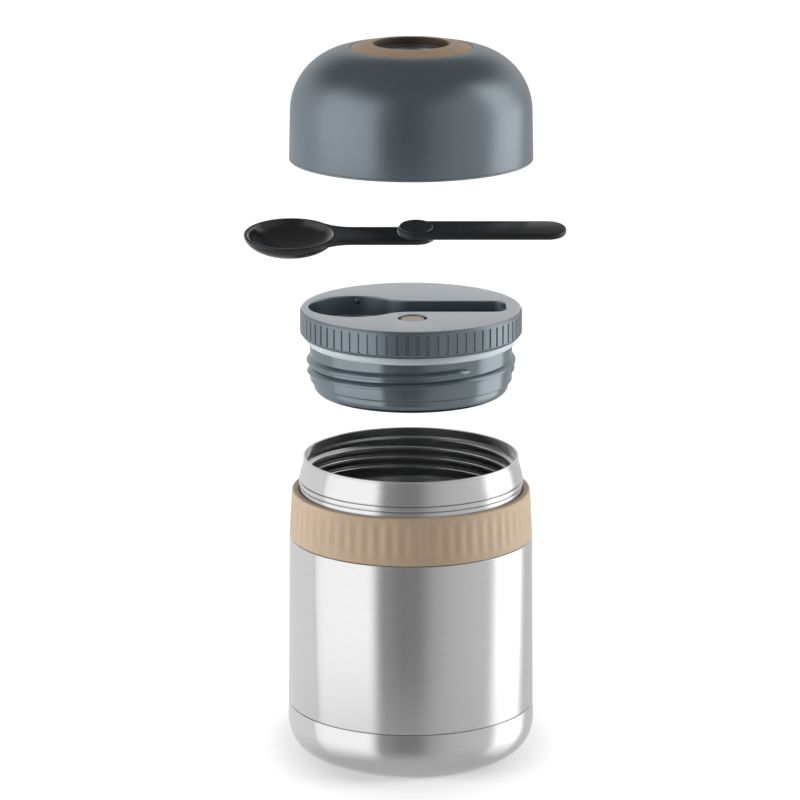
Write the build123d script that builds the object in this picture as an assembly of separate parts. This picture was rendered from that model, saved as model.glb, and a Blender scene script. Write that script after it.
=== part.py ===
from build123d import *
import os
from math import acos, asin, degrees, sqrt

# Insulated food jar, shown apart: jar body, screw stopper, folding spoon and bowl cap, one above
# the other. Millimetres, +Z up, origin at the centre of the base's underside.
os.makedirs("parts", exist_ok=True)

fit_gap = 0.05  # between pieces that are pressed or glued together
cut_margin = 1.0  # how far a cutter runs past the face it opens

# Jar body
sheet = 0.6  # steel thickness of the body
body_radius = 47.5
corner_width = 8.0  # the base's rounded corner, across and up
corner_height = 12.0
disc_radius = 30.0  # cover pressed into the underside
disc_thickness = 0.5
dimple_radius = 5.0  # round the sealing bead of the vacuum
dimple_depth = 1.5
plug_radius = 1.6
plug_cap_radius = 2.6
plug_cap_height = 0.8
plug_gap = 0.02
getter_radius = 6.0
getter_thickness = 2.0
getter_offset = 20.0
seam_height = 18.2  # where the base cup meets the shell
seam_draft = 0.2  # narrower there than at the corner
joggle = 2.8  # height of the base cup's lip inside the shell
joggle_drop = 1.5
shell_height = 84.45  # up to the grip band
shoulder_draft = 0.65  # narrower there than at the seam
band_thickness = 2.45
band_height = 18.19
band_draft = 1.05
band_lip = 0.59  # the band's edge that laps the neck
band_neck_gap = 0.35
band_foot_edge = 0.3
band_top_edge = 0.5
neck_step = 4.75  # neck inside the body's radius
neck_height = 13.06  # from the band to the lip
lip_taper = 1.55  # the neck's draw to the lip
taper_rise = 5.6
taper_drop = 2.5  # from the lip to the taper
lip_thickness = 0.55
bead_rise = 2.86  # locating bead on the neck, above the band
bead_half = 0.85
bead_reach = 0.25
bead_edge = 0.15
groove_depth = 0.35
groove_width = 0.45
groove_flat = 0.2
shell_edge = 0.3
seat_slope_drop = 0.9  # the shell's draw from the band's seat to the neck
seat_slope_foot = 0.2

seam_radius = body_radius - seam_draft
shoulder_radius = seam_radius - shoulder_draft
seat_radius = shoulder_radius - band_thickness
band_top_radius = shoulder_radius - band_draft
neck_radius = body_radius - neck_step
bead_radius = neck_radius + bead_reach
lip_radius = neck_radius - lip_taper
band_top = shell_height + band_height
band_lip_height = band_top - band_lip
bead_height = band_top + bead_rise
lip_height = band_top + neck_height
taper_top = lip_height - taper_drop
taper_bottom = taper_top - taper_rise

# Grip band's flutes
band_ribs = 60
rib_margin_bottom = 2.55  # smooth border of the band
rib_margin_top = 1.64
rib_cutter = 1.5
rib_depth = 0.4

# Inner liner
rim_width = 1.1  # rolled over the lip
liner_step = 1.7  # the wall's draw in to the mouth
liner_floor = 9.0
liner_corner = 12.0
liner_draw_rise = 5.0
liner_draw_drop = 19.7  # from the lip down to the drawn-in wall
draw_rounding = 3.0
lip_edge = 0.25
mouth_radius = lip_radius - rim_width
liner_radius = mouth_radius + liner_step
liner_neck_top = lip_height - liner_draw_drop
liner_neck_bottom = liner_neck_top - liner_draw_rise

# Screw thread, two starts
lead = 7.6
starts = 2
thread_clearance = 0.3  # stopper's crest to the neck's wall
thread_depth = 1.3
root_clearance = 0.4  # neck's crest to the stopper's wall
thread_rise = (1.9, 0.2)  # upper side of the stopper's ridges, at the wall and at the crest
thread_fall = (1.4, 0.3)  # lower side
thread_end_angle = 306.0  # upper end of the first start, about +Z from +X
thread_end_drop = 7.14  # below the stopper's skirt
thread_sweep = 320.0
ridge_half = (0.95, 0.35)  # the neck's ridges, either side of their middle
ridge_drop = 16.7  # lower end of the neck's ridges, below the lip
ridge_turns = 1.7
embed = 0.25  # how far a thread reaches into its wall
thread_crest = mouth_radius - thread_clearance
thread_root = thread_crest - thread_depth
ridge_crest = thread_root + root_clearance
ridge_bottom = lip_height - ridge_drop

# Stopper, lifted clear of the neck
stopper_lift = 47.4
skirt_seat = 0.14  # the shut skirt's height over the lip
skirt_height = 10.48
skirt_overhang = 1.0  # past the lip
skirt_chamfer = 1.0
skirt_foot = 1.3
top_draft = 0.63
top_edge = 1.4
top_edge_rounding = 0.5
skirt_foot_rounding = 0.3
skirt_wall = 1.6
flange_width = 1.0
flange_thickness = 1.0
plate_thickness = 2.0
cup_depth = 22.51  # below the skirt
cup_shelf_rise = 4.87  # step below the thread
cup_step = 1.3
cup_step_rise = 0.6
cup_corner = 3.6
cup_wall = 3.0
cup_inner_corner = 2.5
floor_thickness = 2.0
foam_gap = 0.3
gasket_height = 3.0
gasket_seat = 0.04
gasket_land = 1.0  # the hub inside the gasket, in from the thread's root
gasket_clearance = 0.35
gasket_taper = 0.45
gasket_taper_rise = 1.4
gasket_edge = 0.3
skirt_slots = 70
slot_width = 0.9
slot_depth = 0.45
slot_rise = 1.46
slot_drop = 1.42

skirt_radius = lip_radius + skirt_overhang
skirt_bottom_radius = skirt_radius - skirt_chamfer
skirt_top_radius = skirt_radius - top_draft
skirt_inner = skirt_radius - skirt_wall
skirt_bottom = lip_height + skirt_seat + stopper_lift
stopper_top_height = skirt_bottom + skirt_height
flange_top = skirt_bottom + flange_thickness
thread_end_height = skirt_bottom - thread_end_drop
hub_radius = thread_root - gasket_land
cup_wall_radius = thread_root - cup_wall
cup_lower_radius = thread_root - cup_step
cup_bottom = skirt_bottom - cup_depth
cup_floor = cup_bottom + floor_thickness
cup_shelf = cup_bottom + cup_shelf_rise
gasket_top = skirt_bottom - gasket_seat
gasket_bottom = gasket_top - gasket_height
gasket_radius = mouth_radius - gasket_clearance

# Spoon, hung in front of the jar's axis with its top leaned towards -Y
spoon_rise = 42.03  # rivet above the stopper
spoon_x = 1.6
spoon_y = -64.0
lean = 10.2
bowl_tip = 62.6  # from the rivet
bowl_length = 33.7
bowl_width = 30.6
bowl_depth = 7.6
bowl_wall = 1.2
strap_width = 13.7
strap_thickness = 1.7
neck_blend = 16.0  # from the bowl's rim into the strap
neck_start = 6.0  # right of the bowl's middle
handle_reach = 54.6  # from the rivet
handle_width = 13.5
handle_thickness = 2.4
handle_gap = 0.1
handle_edge = 0.8
end_flat = 0.05
rivet_radius = 2.0
rivet_clearance = 0.05
rivet_head_radius = 6.1
rivet_head_height = 0.7
rivet_tail_radius = 3.6
rivet_head_edge = 0.5
rivet_tail_height = 0.7

# Spoon recess in the stopper
recess_y = 0.8
recess_bowl_x = -21.6
recess_margin = 0.55  # round the spoon's bowl
recess_length = 75.0
recess_side = 2.15  # beside the spoon's handle
recess_corner = 5.0
recess_blend = 14.0
recess_wall = 1.2
recess_deep = 11.5
deep_margin = 1.4  # the deep part stays inside the cup
nub_radius = 1.0  # snap nubs that hold the folded spoon
nub_height = 2.0
nub_drop = 1.0
nub_x = -20.6
recess_bowl_radius = bowl_length / 2 + recess_margin
recess_end_x = recess_bowl_x - recess_bowl_radius + recess_length
recess_width = handle_width + 2 * recess_side
deep_radius = cup_wall_radius - deep_margin

# Vent valve
valve_x = 0.5
valve_y = -18.4
button_radius = 4.6
button_height = 3.8
button_drop = 0.32  # below the stopper's top
button_socket = 2.0
button_clearance = 0.9
button_edge = 0.4
well_wall = 1.3
well_depth = 7.52
stem_radius = 1.5
stem_clearance = 0.06
stem_tip = 0.1
guide_radius = 3.2
guide_height = 4.07
pocket_radius = 6.2  # in the cup's underside, round the seal
pocket_wall = 1.4
pocket_roof = 1.6
pocket_depth = 2.2
seal_radius = 5.0
seal_thickness = 1.4
clip_radius = 2.7
clip_thickness = 0.5
coil_radius = 2.6
wire_radius = 0.25
coil_turns = 3.5
well_radius = button_radius + button_clearance
well_floor = stopper_top_height - well_depth
button_top = stopper_top_height - button_drop
pocket_ceiling = cup_bottom + pocket_depth
guide_top = pocket_ceiling + guide_height

# Cap, lifted clear of the stopper; heights are above its rim
cap_lift = 80.9  # beyond the stopper's own lift
cap_seat = 0.14  # the shut cap's height over the band
cap_clearance = 0.5  # round the neck's bead
cap_space = 2.5  # between the two walls, outside to inside
cap_draft = 0.4
cap_shoulder_height = 18.3
cap_arc = 24.0
cap_wall = 1.0
cap_flange = 0.8
cap_liner_corner = 19.0
cap_rim_edge = 0.3
ring_radius = 23.1
ring_width = 9.15
ring_inset = 1.05
ring_edge_height = 0.9
ring_height = 2.6
ring_rounding = 0.6
ring_crown = 0.35
ring_clearance = 0.05
cap_well_depth = 2.6
cap_liner_radius = bead_radius + cap_clearance
cap_rim_radius = cap_liner_radius + cap_space
cap_shoulder_radius = cap_rim_radius - cap_draft
cap_middle = cap_shoulder_radius - cap_arc
cap_bottom = band_top + cap_seat + stopper_lift + cap_lift
ring_inner = ring_radius - ring_width
ring_wall = ring_radius + ring_clearance
ring_seat = cap_shoulder_height + sqrt(cap_arc**2 - (ring_wall - cap_middle) ** 2) - ring_inset
cap_well_floor = ring_seat - cap_well_depth
cap_liner_top = cap_well_floor - 2 * cap_wall


def turned(*corners):
    # Solid of revolution about Z from (radius, height[, rounding]) corners, in order.
    section = make_face(Polyline([corner[:2] for corner in corners], close=True))
    for corner in corners:
        if len(corner) == 3:
            vertex = section.vertices().sort_by_distance(Vector(corner[0], corner[1], 0))[0]
            section = fillet(vertex, corner[2])
    return revolve(Plane.XZ * section, Axis.Z)


def turned_curves(*curves):
    edges = [edge for curve in curves for edge in curve.edges()]
    return revolve(Plane.XZ * make_face(edges), Axis.Z)


def disc(radius, bottom, top, x=0.0, y=0.0):
    return Pos(x, y, bottom) * Cylinder(radius, top - bottom, align=(Align.CENTER, Align.CENTER, Align.MIN))


def tube(inner, outer, bottom, top, x=0.0, y=0.0):
    return disc(outer, bottom, top, x, y) - disc(inner, bottom - cut_margin, top + cut_margin, x, y)


def around(piece, count):
    return [Rot(0, 0, 360 * index / count) * piece for index in range(count)]


def thread(wall, crest, rise, fall, start_angle, start_height, turns):
    # Ridge along a helix, from just inside the wall's face out to the crest.
    path = Helix(lead, lead * turns, wall)
    reach = crest - wall
    hidden = -embed if reach > 0 else embed
    share = embed / abs(reach)
    top = rise[0] + share * (rise[0] - rise[1])
    bottom = fall[0] + share * (fall[0] - fall[1])
    section = make_face(
        Polyline((hidden, -bottom), (reach, -fall[1]), (reach, rise[1]), (hidden, top), close=True)
    )
    start = Plane(origin=path @ 0, x_dir=(1, 0, 0), z_dir=path % 0)
    ridge = sweep(start * section, path, is_frenet=True)
    pieces = [Rot(0, 0, start_angle + 360 * n / starts) * ridge for n in range(starts)]
    return [Pos(0, 0, start_height) * piece for piece in pieces]


def make_base_cup():
    middle = body_radius - corner_width
    outside = EllipticalCenterArc((middle, corner_height), corner_width, corner_height, 270, arc_size=90)
    inner_width = corner_width - sheet
    inner_height = corner_height - sheet
    inside = EllipticalCenterArc((middle, corner_height), inner_width, inner_height, 270, arc_size=90)
    lip = seam_radius - sheet - fit_gap
    top = seam_height + joggle
    upper = Polyline(
        (body_radius, corner_height),
        (seam_radius, seam_height),
        (lip, seam_height),
        (lip, top),
        (lip - sheet, top),
        (lip - sheet, seam_height - joggle_drop),
        (body_radius - sheet, corner_height),
    )
    step = disc_thickness + sheet
    dimple_top = step + dimple_depth
    lower = Polyline(
        (middle, sheet),
        (disc_radius + sheet, sheet),
        (disc_radius + sheet, step),
        (dimple_radius + sheet, step),
        (dimple_radius, dimple_top),
        (plug_radius, dimple_top),
        (plug_radius, dimple_top - sheet),
        (dimple_radius - sheet, dimple_top - sheet),
        (dimple_radius, disc_thickness),
        (disc_radius, disc_thickness),
        (disc_radius, 0),
        (middle, 0),
    )
    return turned_curves(outside, upper, inside, lower)


def make_outer_shell():
    neck = neck_radius
    low = bead_height - bead_half
    high = bead_height + bead_half
    outer = [
        (seam_radius, seam_height),
        (shoulder_radius, shell_height, shell_edge),
        (seat_radius, shell_height),
        (seat_radius, band_lip_height - seat_slope_drop),
        (neck + seat_slope_foot, band_lip_height - seat_slope_foot),
        (neck, low - groove_width),
        (neck - groove_depth, low - groove_flat),
        (bead_radius, low + bead_edge, bead_edge),
        (bead_radius, high - bead_edge, bead_edge),
        (neck - groove_depth, high + groove_flat),
        (neck, high + groove_width),
        (neck, taper_bottom),
        (lip_radius, taper_top),
        (lip_radius, lip_height - lip_thickness),
    ]
    inner_neck = neck - sheet - groove_depth
    inner = [
        (lip_radius - lip_thickness, lip_height - lip_thickness),
        (lip_radius - lip_thickness, taper_top - lip_thickness / 2),
        (inner_neck, taper_bottom - sheet),
        (inner_neck, band_lip_height - seat_slope_drop - sheet),
        (seat_radius - sheet, band_lip_height - seat_slope_drop - 2 * sheet),
        (seat_radius - sheet, shell_height - sheet),
        (shoulder_radius - sheet, shell_height - 2 * sheet),
        (seam_radius - sheet, seam_height),
    ]
    return turned(*outer, *inner)


def make_inner_liner():
    outer = liner_radius + sheet
    neck = lip_radius - lip_thickness - fit_gap
    shell = turned(
        (0, liner_floor),
        (liner_radius, liner_floor, liner_corner),
        (liner_radius, liner_neck_bottom, draw_rounding),
        (mouth_radius, liner_neck_top, draw_rounding),
        (mouth_radius, lip_height, lip_edge),
        (lip_radius, lip_height, lip_edge),
        (lip_radius, lip_height - lip_thickness),
        (neck, lip_height - lip_thickness),
        (neck, liner_neck_top, draw_rounding + sheet),
        (outer, liner_neck_bottom, draw_rounding + sheet),
        (outer, liner_floor - sheet, liner_corner + sheet),
        (0, liner_floor - sheet),
    )
    # The neck's ridges lie half way between the rows that the stopper's threads turn down into.
    row = lead / starts
    middle = thread_end_height - (round(stopper_lift / row) + 0.5) * row
    angle = thread_end_angle - 360 * (middle - ridge_bottom) / lead
    ridges = thread(
        mouth_radius, ridge_crest, ridge_half, ridge_half, angle, ridge_bottom, ridge_turns
    )
    return shell + ridges


def make_grip_band():
    band = turned(
        (shoulder_radius, shell_height, band_foot_edge),
        (band_top_radius, band_top, band_top_edge),
        (neck_radius + band_neck_gap, band_top),
        (neck_radius + band_neck_gap, band_lip_height),
        (seat_radius + fit_gap, band_lip_height - seat_slope_drop + fit_gap),
        (seat_radius + fit_gap, shell_height),
    )
    slope = band_draft / band_height
    bottom = shell_height + rib_margin_bottom
    top = band_top - rib_margin_top
    middle = (bottom + top) / 2
    radius = shoulder_radius - slope * (middle - shell_height)
    cutter = Pos(radius + rib_cutter - rib_depth, 0, middle) * Rot(0, -degrees(slope), 0)
    cutter = cutter * Cylinder(rib_cutter, top - bottom)
    return band - around(cutter, band_ribs)


def recess_outline():
    slot_length = recess_end_x - recess_bowl_x
    bowl = Pos(recess_bowl_x, recess_y) * Circle(recess_bowl_radius)
    slot = Pos(recess_bowl_x + slot_length / 2, recess_y) * Rectangle(slot_length, recess_width)
    ends = slot.vertices().group_by(Axis.X)[-1]
    outline = bowl + fillet(ends, recess_corner)
    run = sqrt(recess_bowl_radius**2 - (recess_width / 2) ** 2)
    corners = [
        outline.vertices().sort_by_distance(
            Vector(recess_bowl_x + run, recess_y + side * recess_width / 2, 0)
        )[0]
        for side in (-1, 1)
    ]
    return fillet(corners, recess_blend)


def prism(outline, bottom, top):
    return Pos(0, 0, bottom) * extrude(outline, top - bottom)


def make_stopper_top():
    top = stopper_top_height
    inside = skirt_inner - flange_width
    plate = top - plate_thickness
    body = turned(
        (0, top),
        (skirt_top_radius, top, top_edge_rounding),
        (skirt_radius, top - top_edge, top_edge_rounding),
        (skirt_radius, skirt_bottom + skirt_foot, skirt_foot_rounding),
        (skirt_bottom_radius, skirt_bottom),
        (skirt_inner, skirt_bottom),
        (skirt_inner, flange_top),
        (inside, flange_top),
        (inside, plate),
        (0, plate),
    )
    outline = recess_outline()
    tray = offset(outline, recess_wall)
    shallow = flange_top + recess_wall
    deep = top - recess_deep
    body += prism(tray, flange_top, plate) & disc(inside, flange_top, top)
    body += prism(tray, deep - recess_wall, shallow) & disc(
        deep_radius + recess_wall, deep - recess_wall, shallow
    )
    body += disc(well_radius + well_wall, well_floor - recess_wall, plate, valve_x, valve_y)
    body -= prism(outline, shallow, top + cut_margin)
    body -= prism(outline, deep, top) & disc(deep_radius, deep, top)
    body -= disc(well_radius, well_floor, top + cut_margin, valve_x, valve_y)
    body -= disc(stem_radius + stem_clearance, deep, top, valve_x, valve_y)
    slot_bottom = skirt_bottom + slot_rise
    slot_top = top - slot_drop
    slot = Pos(skirt_radius, 0, (slot_bottom + slot_top) / 2)
    slot = slot * Box(2 * slot_depth, slot_width, slot_top - slot_bottom)
    body -= around(slot, skirt_slots)
    nub_top = top - nub_drop
    for x, y in ((nub_x, recess_y + recess_bowl_radius), (recess_end_x, recess_y)):
        body += disc(nub_radius, nub_top - nub_height, nub_top, x, y)
    return body


def make_stopper_cup():
    ledge = skirt_inner - fit_gap
    cup = turned(
        (0, cup_bottom),
        (cup_lower_radius, cup_bottom, cup_corner),
        (cup_lower_radius, cup_shelf),
        (thread_root, cup_shelf + cup_step_rise),
        (thread_root, gasket_bottom),
        (hub_radius, gasket_bottom),
        (hub_radius, gasket_top),
        (ledge, gasket_top),
        (ledge, flange_top),
        (cup_wall_radius, flange_top),
        (cup_wall_radius, cup_floor, cup_inner_corner),
        (0, cup_floor),
    )
    cup += thread(
        thread_root,
        thread_crest,
        thread_rise,
        thread_fall,
        thread_end_angle - thread_sweep,
        thread_end_height - lead * thread_sweep / 360,
        thread_sweep / 360,
    )
    boss = pocket_ceiling + pocket_roof
    cup += disc(pocket_radius + pocket_wall, cup_bottom, boss, valve_x, valve_y)
    cup += disc(guide_radius, pocket_ceiling, guide_top, valve_x, valve_y)
    cup -= disc(pocket_radius, cup_bottom - cut_margin, pocket_ceiling, valve_x, valve_y)
    cup -= disc(stem_radius + stem_clearance, cup_bottom, guide_top + cut_margin, valve_x, valve_y)
    return cup


def make_stopper_foam():
    # Insulation between the cup's floor and the recess
    corner = cup_inner_corner
    edge = cup_wall_radius - foam_gap
    top = stopper_top_height - recess_deep - recess_wall - foam_gap
    foam = turned(
        (0, cup_floor), (edge - corner, cup_floor), (edge, cup_floor + corner), (edge, top), (0, top)
    )
    hole = pocket_radius + pocket_wall + foam_gap
    return foam - disc(hole, cup_floor - cut_margin, top + cut_margin, valve_x, valve_y)


def make_stopper_gasket():
    inner = hub_radius + fit_gap
    return turned(
        (inner, gasket_bottom),
        (gasket_radius - gasket_taper, gasket_bottom, gasket_edge),
        (gasket_radius, gasket_bottom + gasket_taper_rise),
        (gasket_radius, gasket_top),
        (inner, gasket_top),
    )


def make_valve():
    x, y = valve_x, valve_y
    bottom = button_top - button_height
    seal_bottom = pocket_ceiling - seal_thickness
    clip_bottom = seal_bottom - clip_thickness
    inner = stem_radius + fit_gap
    button = disc(button_radius, bottom, button_top, x, y)
    button = fillet(button.edges().group_by(Axis.Z)[-1], button_edge)
    button -= disc(inner, bottom - cut_margin, bottom + button_socket, x, y)
    stem = disc(stem_radius, clip_bottom - stem_tip, bottom + button_socket, x, y)
    seal = tube(inner, seal_radius, seal_bottom, pocket_ceiling, x, y)
    clip = tube(inner, clip_radius, clip_bottom, seal_bottom, x, y)
    turn_height = bottom - well_floor - 2 * wire_radius
    path = Helix(turn_height / coil_turns, turn_height, coil_radius)
    coil = sweep(Plane(origin=path @ 0, z_dir=path % 0) * Circle(wire_radius), path, is_frenet=True)
    spring = Pos(x, y, well_floor + wire_radius) * coil
    return {
        "valve_button": button,
        "valve_stem": stem,
        "valve_seal": seal,
        "valve_clip": clip,
        "valve_spring": spring,
    }


def strap(start, end, width, start_radius, end_radius, bottom, top):
    # Flat bar along X with rounded ends
    bar = Pos((start + end) / 2, 0) * Rectangle(end - start, width)
    bar = fillet(bar.vertices().group_by(Axis.X)[0], start_radius) if start_radius else bar
    bar = fillet(bar.vertices().group_by(Axis.X)[-1], end_radius)
    return prism(bar, bottom, top)


def hollow_bowl(length, width, depth, x):
    ball = scale(Sphere(1), by=(length / 2, width / 2, depth))
    lower = Box(length, width, depth, align=(Align.CENTER, Align.CENTER, Align.MAX))
    return Pos(x, 0, 0) * (ball & lower)


def spoon_neck(middle):
    # Flat strap that grows out of the bowl's rim and ends round the rivet
    half = strap_width / 2
    length = half - middle
    rim = Pos(middle, 0) * Ellipse(bowl_length / 2, bowl_width / 2)
    bar = Pos(middle + length / 2, 0) * Rectangle(length, strap_width)
    outline = rim + fillet(bar.vertices().group_by(Axis.X)[-1], half - end_flat)
    run = bowl_length / 2 * sqrt(1 - (strap_width / bowl_width) ** 2)
    corners = [
        outline.vertices().sort_by_distance(Vector(middle + run, side * half, 0))[0]
        for side in (-1, 1)
    ]
    outline = fillet(corners, neck_blend)
    reach = Pos(middle + neck_start + length / 2, 0) * Rectangle(length, bowl_width)
    return prism(outline & reach, -strap_thickness, 0)


def make_spoon():
    place = Pos(spoon_x, spoon_y, stopper_top_height + spoon_rise) * Rot(lean, 0, 0)
    middle = bowl_length / 2 - bowl_tip
    inner_length = bowl_length - 2 * bowl_wall
    inner_width = bowl_width - 2 * bowl_wall
    low = handle_gap
    high = low + handle_thickness
    hole = disc(rivet_radius + rivet_clearance, -bowl_depth, high + cut_margin)
    bowl = hollow_bowl(bowl_length, bowl_width, bowl_depth, middle)
    bowl += spoon_neck(middle)
    bowl -= hollow_bowl(inner_length, inner_width, bowl_depth - bowl_wall, middle)
    bowl -= hole
    handle_end = handle_width / 2 - end_flat
    handle = strap(-handle_end, handle_reach, handle_width, handle_end, handle_end, low, high)
    handle = fillet(handle.edges().group_by(Axis.Z)[-1], handle_edge)
    handle -= hole
    seat = high + fit_gap
    foot = -strap_thickness - fit_gap
    shank = disc(rivet_radius, foot, seat)
    head = disc(rivet_head_radius, seat, seat + rivet_head_height)
    head = fillet(head.edges().group_by(Axis.Z)[-1], rivet_head_edge)
    rivet = shank + head + disc(rivet_tail_radius, foot - rivet_tail_height, foot)
    pieces = {"spoon_bowl": bowl, "spoon_handle": handle, "spoon_rivet": rivet}
    return {name: place * piece for name, piece in pieces.items()}


def make_cap_shell():
    centre = (cap_middle, cap_shoulder_height)
    outer_end = degrees(acos((ring_wall - cap_middle) / cap_arc))
    inner_arc = cap_arc - cap_wall
    under = ring_seat - cap_wall
    inner_end = degrees(asin((under - cap_shoulder_height) / inner_arc))
    outside = CenterArc(centre, cap_arc, 0, outer_end)
    inside = CenterArc(centre, inner_arc, 0, inner_end)
    well = ring_inner - ring_clearance
    top = Polyline(
        outside @ 1,
        (ring_wall, ring_seat),
        (well, ring_seat),
        (well, cap_well_floor),
        (0, cap_well_floor),
        (0, cap_well_floor - cap_wall),
        (well + cap_wall, cap_well_floor - cap_wall),
        (well + cap_wall, under),
        inside @ 1,
    )
    bottom = Polyline(
        inside @ 0,
        (cap_rim_radius - cap_wall, cap_flange),
        (cap_rim_radius, cap_flange),
        outside @ 0,
    )
    return Pos(0, 0, cap_bottom) * turned_curves(outside, top, inside, bottom)


def make_cap_liner():
    outer = cap_liner_radius + cap_wall
    top = cap_liner_top + cap_wall
    liner = turned(
        (cap_liner_radius, 0, cap_rim_edge),
        (cap_rim_radius, 0, cap_rim_edge),
        (cap_rim_radius, cap_flange),
        (outer, cap_flange),
        (outer, top, cap_liner_corner + cap_wall),
        (0, top),
        (0, cap_liner_top),
        (cap_liner_radius, cap_liner_top, cap_liner_corner),
    )
    return Pos(0, 0, cap_bottom) * liner


def make_cap_ring():
    edge = ring_seat + ring_edge_height
    peak = ring_seat + ring_height
    inner = ring_inner + ring_rounding
    crown = ThreePointArc(
        (ring_radius, edge),
        ((ring_radius + ring_inner) / 2, (edge + peak) / 2 + ring_crown),
        (inner, peak),
    )
    rest = Polyline(
        (inner, peak),
        (ring_inner, peak - ring_rounding),
        (ring_inner, ring_seat),
        (ring_radius, ring_seat),
        (ring_radius, edge),
    )
    return Pos(0, 0, cap_bottom) * turned_curves(crown, rest)


def make_vacuum_parts():
    inside = disc_thickness + sheet
    dimple_top = inside + dimple_depth
    plug = disc(plug_radius - plug_gap, dimple_top - sheet, dimple_top)
    plug += disc(plug_cap_radius, dimple_top, dimple_top + plug_cap_height)
    return {
        "base_disc": disc(disc_radius - fit_gap, 0, disc_thickness),
        "vacuum_plug": plug,
        "getter": disc(getter_radius, inside, inside + getter_thickness, getter_offset, 0),
    }


nodes = {
    "outer_shell": make_outer_shell(),
    "base_cup": make_base_cup(),
    "inner_liner": make_inner_liner(),
    "grip_band": make_grip_band(),
    "stopper_top": make_stopper_top(),
    "stopper_cup": make_stopper_cup(),
    "stopper_foam": make_stopper_foam(),
    "stopper_gasket": make_stopper_gasket(),
    "cap_shell": make_cap_shell(),
    "cap_liner": make_cap_liner(),
    "cap_ring": make_cap_ring(),
    **make_vacuum_parts(),
    **make_valve(),
    **make_spoon(),
}

for name, piece in nodes.items():
    export_step(piece, f"parts/{name}.step")
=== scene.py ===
from math import acos, asin, atan2, cos, degrees, hypot, pi, radians, sin, sqrt, tan
import bmesh
import bpy
from mathutils import Matrix, Vector


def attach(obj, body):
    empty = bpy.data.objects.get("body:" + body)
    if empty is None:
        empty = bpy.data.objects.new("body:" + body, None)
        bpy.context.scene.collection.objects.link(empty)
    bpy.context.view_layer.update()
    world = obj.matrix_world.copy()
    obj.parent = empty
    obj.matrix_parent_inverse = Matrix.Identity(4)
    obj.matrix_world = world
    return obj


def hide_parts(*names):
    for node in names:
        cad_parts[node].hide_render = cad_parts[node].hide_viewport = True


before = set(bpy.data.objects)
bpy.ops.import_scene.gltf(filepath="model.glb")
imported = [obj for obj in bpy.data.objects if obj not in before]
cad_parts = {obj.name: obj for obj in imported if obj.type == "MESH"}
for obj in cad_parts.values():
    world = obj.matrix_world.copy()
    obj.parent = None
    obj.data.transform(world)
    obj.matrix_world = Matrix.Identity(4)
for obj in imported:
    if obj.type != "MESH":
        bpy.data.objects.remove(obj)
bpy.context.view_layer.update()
mm = 0.001  # the pieces' sizes are in millimetres, the studio's places in metres
near = {"corner": 0.004 * mm, "axis": 0.001 * mm, "weld": 0.002 * mm}  # how close counts as there
sharp = radians(60)  # edges sharper than this are bevelled


def startAfresh():
    if bpy.context.object and bpy.context.object.mode != "OBJECT":
        bpy.ops.object.mode_set(mode="OBJECT")
    bpy.ops.object.select_all(action="DESELECT")


def makeActive(piece):
    startAfresh()
    piece.select_set(True)
    bpy.context.view_layer.objects.active = piece


def openMesh(piece, kind):
    # edit mode, working on vertices, edges or faces
    makeActive(piece)
    bpy.ops.object.mode_set(mode="EDIT")
    bpy.ops.mesh.select_mode(type=kind)


def pick(kind, wanted):
    # selects the vertices, edges or faces of the piece in edit mode that the test wants
    mesh = bmesh.from_edit_mesh(bpy.context.object.data)
    for part in (*mesh.verts, *mesh.edges, *mesh.faces):
        part.select = False
    chosen = [part for part in getattr(mesh, kind) if wanted(part)]
    for part in chosen:
        part.select_set(True)
    if kind != "verts":
        mesh.select_flush(False)
    bmesh.update_edit_mesh(bpy.context.object.data)
    return len(chosen)


def drawFace(name, points):
    # one face, drawn corner by corner; points are Vectors in millimetres
    startAfresh()
    bpy.ops.mesh.primitive_plane_add(size=mm)
    piece = bpy.context.object
    piece.name = piece.data.name = name
    bpy.ops.object.mode_set(mode="EDIT")
    bpy.ops.mesh.select_mode(type="VERT")
    bpy.ops.mesh.select_all(action="SELECT")
    bpy.ops.mesh.merge(type="CENTER")
    bpy.ops.transform.translate(value=points[0] * mm)
    for here, there in zip(points, points[1:]):
        bpy.ops.mesh.extrude_vertices_move(TRANSFORM_OT_translate={"value": (there - here) * mm})
    bpy.ops.mesh.select_all(action="SELECT")
    bpy.ops.mesh.edge_face_add()
    return piece


def roundCorners(points, roundings):
    # rounds drawn corners; a rounding is (radius, segments)
    count = len(points)
    for index, rounding in enumerate(roundings):
        if not rounding:
            continue
        here = points[index]
        before = (points[index - 1] - here).normalized()
        after = (points[(index + 1) % count] - here).normalized()
        turn = pi - before.angle(after)
        pick("verts", lambda v: (v.co - here * mm).length < near["corner"])
        bpy.ops.mesh.bevel(
            offset=rounding[0] * tan(turn / 2) * mm, segments=rounding[1], affect="VERTICES"
        )


def turned(name, corners, steps=192):
    # a section of (radius, height, rounding, segments) corners, spun round Z
    points = [Vector((corner[0], 0, corner[1])) for corner in corners]
    piece = drawFace(name, points)
    roundCorners(points, [corner[2:4] if len(corner) > 2 else None for corner in corners])
    bpy.ops.mesh.select_all(action="SELECT")
    bpy.ops.mesh.delete(type="ONLY_FACE")
    if pick("edges", lambda e: max(abs(v.co.x) for v in e.verts) < near["axis"]):
        bpy.ops.mesh.delete(type="EDGE")
    bpy.ops.mesh.select_all(action="SELECT")
    bpy.ops.mesh.spin(steps=steps, angle=2 * pi, center=(0, 0, 0), axis=(0, 0, 1))
    tidyMesh()
    return piece


def raised(height):
    # lifts what is selected, with walls round it
    bpy.ops.mesh.extrude_region_move(TRANSFORM_OT_translate={"value": (0, 0, height * mm)})


def tidyMesh():
    bpy.ops.mesh.select_all(action="SELECT")
    bpy.ops.mesh.remove_doubles(threshold=near["weld"])
    bpy.ops.mesh.normals_make_consistent(inside=False)
    bpy.ops.object.mode_set(mode="OBJECT")


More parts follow.
